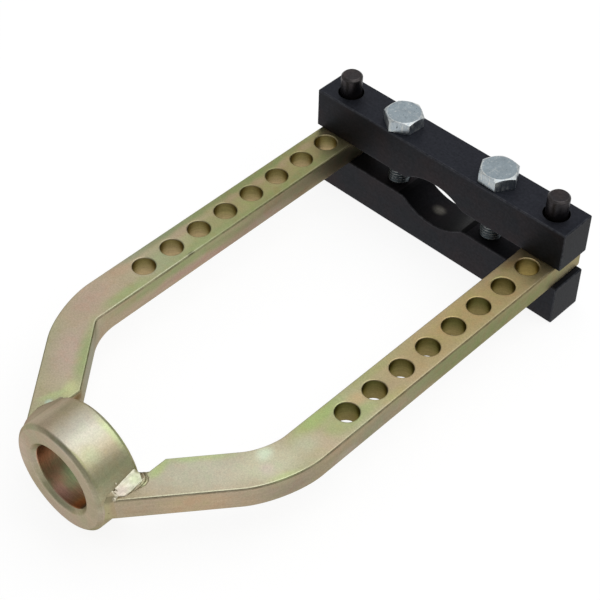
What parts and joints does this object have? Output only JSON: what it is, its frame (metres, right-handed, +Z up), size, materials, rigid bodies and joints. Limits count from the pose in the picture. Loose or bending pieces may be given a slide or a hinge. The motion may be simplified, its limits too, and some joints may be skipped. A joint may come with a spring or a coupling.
{
  "type": "universal joint puller",
  "caption": "Fork-shaped drive shaft joint puller: flat bar arms on a boss ring, with a bolted two-jaw clamp pinned through rows of holes.",
  "frame": {"origin": "middle of the boss ring's bore, on its axis", "axes": "+Y along the bore's axis from the ring towards the clamp, +X across the fork, +Z up towards the bolt heads"},
  "size_m": [0.19, 0.3258, 0.0835],
  "materials": {
    "yellow_zinc": "yellow chromate zinc plating, satin",
    "weld_metal": "plated weld metal, uneven",
    "black_oxide": "black oxide, matt",
    "black_pin": "black oxide, satin",
    "bright_zinc": "clear zinc plating, satin"
  },
  "bodies": {
    "fork": {"boss_ring": "yellow_zinc", "left_arm": "yellow_zinc", "right_arm": "yellow_zinc", "left_weld": "weld_metal", "right_weld": "weld_metal", "lower_jaw": "black_oxide", "left_guide_pin": "black_pin", "right_guide_pin": "black_pin"},
    "upper_jaw": {"upper_jaw": "black_oxide"},
    "left_bolt": {"left_clamp_bolt": "bright_zinc"},
    "right_bolt": {"right_clamp_bolt": "bright_zinc"}
  },
  "joints": [
    {"name": "jaw_lift", "type": "slide", "parent": "fork", "child": "upper_jaw", "axis": [0, 0, 1], "range_m": [0, 0.0185]},
    {"name": "left_bolt_turn", "type": "hinge", "parent": "upper_jaw", "child": "left_bolt", "pos_m": [-0.0365, 0.29556, 0.034], "axis": [0, 0, 1], "range_deg": [0, 3330]},
    {"name": "right_bolt_turn", "type": "hinge", "parent": "upper_jaw", "child": "right_bolt", "pos_m": [0.0365, 0.29556, 0.034], "axis": [0, 0, 1], "range_deg": [0, 3330]}
  ],
  "couplings": [
    {"joint": "left_bolt_turn", "follows": "jaw_lift", "rad_per_m": 3141.6},
    {"joint": "right_bolt_turn", "follows": "jaw_lift", "rad_per_m": 3141.6}
  ]
}
